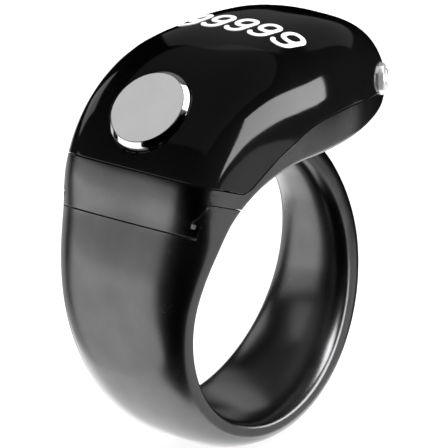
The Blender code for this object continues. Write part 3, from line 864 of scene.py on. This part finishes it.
def dress_nodes():
    """Materials for the CAD nodes that stay: everything inside, and the hinge pin."""
    finishes = {
        "hinge_pin": "steel",
        "count_button_plunger": "black_plastic",
        "count_button_spring": "silicone",
        "count_switch_dome": "steel",
        "count_switch_body": "black_plastic",
        "count_switch_board": "board",
        "reset_button_stem": "black_plastic",
        "reset_button_spring": "silicone",
        "reset_switch_dome": "steel",
        "reset_switch_body": "black_plastic",
        "circuit_board": "board",
        "microcontroller": "black_plastic",
        "timing_crystal": "steel",
        "capacitor_1": "ceramic",
        "capacitor_2": "ceramic",
        "board_screw_1": "steel",
        "board_screw_2": "steel",
        "battery_cell": "steel",
        "battery_contact": "steel",
        "battery_insulator": "amber_film",
        "display_frame": "black_plastic",
        "display_panel": "cover_gloss",
        "display_flex": "amber_film",
    }
    for name, finish_name in finishes.items():
        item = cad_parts[name]
        item.data.materials.clear()
        item.data.materials.append(FINISH[finish_name])


def make_pieces():
    """Every visual piece; returns the band and the bright trim, which have lamps of their own."""
    cover = soften(dress(make_cover(), "cover_gloss"), 0.05)
    stand_for(cover, "top_cover", "head")
    housing = soften(dress(make_housing(), "gunmetal"), 0.03)
    stand_for(housing, "lower_housing", "head")
    band = soften(dress(make_band(), "gunmetal"), 0.03)
    stand_for(band, "band", "band")
    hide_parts("band_latch_hook")

    cap = dress(make_count_cap(), "satin_silver", 24.0)
    cap.data.materials.append(FINISH["polished"])
    chamfer_inner = (CAP_RADIUS - CAP_CHAMFER - CAP_ROUNDING / 2) * MM
    for face in cap.data.polygons:
        if math.hypot(face.center.x, face.center.y) > chamfer_inner:
            face.material_index = 1
    place_in(cap, count_frame())
    stand_for(cap, "count_button_cap", "count_button")
    bezel = place_in(dress(make_reset_bezel(), "bright_chrome", 24.0), reset_frame())
    stand_for(bezel, "reset_button_bezel", "head")
    jewel = place_in(dress(make_reset_cap(), "bright_chrome", 12.0), reset_frame())
    stand_for(jewel, "reset_button_cap", "reset_button")

    for number in range(1, 6):
        # The digits' white print also glows by emission, which is painted light.
        digit = dress(make_digit(number), "white_print_with_glow", 50.0)
        stand_for(digit, f"digit_{number}", "head")
    return (band,), (cap, bezel, jewel)


# --- Studio ------------------------------------------------------------------------------------

def direction(azimuth, elevation):
    """Unit vector towards a place seen from the object; azimuth 0 is -Y and 90 is +X."""
    turn = math.radians(azimuth)
    rise = math.radians(elevation)
    return Vector((math.sin(turn) * math.cos(rise), -math.cos(turn) * math.cos(rise),
                   math.sin(rise)))


def make_camera():
    towards = direction(VIEW_AZIMUTH, VIEW_ELEVATION)
    turn = (-towards).to_track_quat("-Z", "Y")
    right = turn @ Vector((1, 0, 0))
    up = turn @ Vector((0, 1, 0))
    aim = (right * VIEW_SHIFT[0] + up * VIEW_SHIFT[1]) * MM
    camera = bpy.data.objects.new("camera", bpy.data.cameras.new("camera"))
    bpy.context.scene.collection.objects.link(camera)
    camera.data.lens = LENS
    camera.data.sensor_width = SENSOR
    distance = VIEW_WIDTH * MM * LENS / SENSOR
    camera.location = aim + towards * distance
    camera.rotation_mode = "QUATERNION"
    camera.rotation_quaternion = turn
    camera.data.clip_start, camera.data.clip_end = CLIP
    bpy.context.scene.camera = camera


def panel(name, azimuth, distance, height, facing, size, radiance):
    """Rectangular light standing at a place round the object and facing it from (azimuth, rise)."""
    light = bpy.data.lights.new(name, "AREA")
    light.shape = "RECTANGLE"
    light.size = size[0] * MM
    light.size_y = size[1] * MM
    light.energy = radiance * light.size * light.size_y * 4
    item = bpy.data.objects.new(name, light)
    bpy.context.scene.collection.objects.link(item)
    item.location = (direction(azimuth, 0) * distance + Vector((0, 0, height))) * MM
    item.rotation_mode = "QUATERNION"
    outward = direction(*facing)
    turn = math.radians(facing[0])
    across = Vector((math.cos(turn), math.sin(turn), 0.0))
    axes = Matrix((across, outward.cross(across), outward))
    item.rotation_quaternion = axes.transposed().to_quaternion()
    return item


def collection_of(name, items):
    group = bpy.data.collections.new(name)
    for item in items:
        group.objects.link(item)
    return group


def make_floor():
    """Floor grid under the part; it casts no shadow and shows in no reflection."""
    marks = [FLOOR_REACH * (2 * step / FLOOR_ROWS - 1) for step in range(FLOOR_ROWS + 1)]
    points = [(x, y, cad_low.z) for y in marks for x in marks]
    faces = []
    for row in range(FLOOR_ROWS):
        for column in range(FLOOR_ROWS):
            near = row * (FLOOR_ROWS + 1) + column
            far = near + FLOOR_ROWS + 1
            faces.append((near, near + 1, far + 1, far))
    floor = solid_from("studio_floor", points, faces)
    floor.data.materials.append(finish_of("floor_paper", (0.86, 0.86, 0.86), (0.9, 0.9, 0.9),
                                          (0.7, 0.85), mottle=12.0, grain=900.0, height=0.00002))
    floor.visible_glossy = False
    floor.visible_shadow = False
    return floor


def make_studio(floor, bands, trims):
    """White world that only the camera sees, and the lamps, each limited to what it lights."""
    world = bpy.data.worlds.new("studio")
    world.use_nodes = True
    shade = world.node_tree.nodes["Background"]
    shade.inputs["Color"].default_value = (1.0, 1.0, 1.0, 1.0)
    shade.inputs["Strength"].default_value = 1.0
    world.cycles_visibility.diffuse = False
    world.cycles_visibility.glossy = False
    bpy.context.scene.world = world
    bpy.context.scene.view_settings.view_transform = "Standard"
    scene_pieces = [item for item in bpy.context.scene.objects
                    if item.type == "MESH" and item != floor]
    reach = {"pieces": scene_pieces, "trims": trims, "bands": bands, "floor": (floor,)}
    for name, lit, *setting in LAMPS:
        linking = panel(name, *setting).light_linking
        linking.receiver_collection = collection_of(name + "_reach", reach[lit])
        if lit == "floor":
            linking.blocker_collection = collection_of(name + "_shadows", reach[lit])


bands, trims = make_pieces()
dress_nodes()
floor = make_floor()
make_camera()
make_studio(floor, bands, trims)
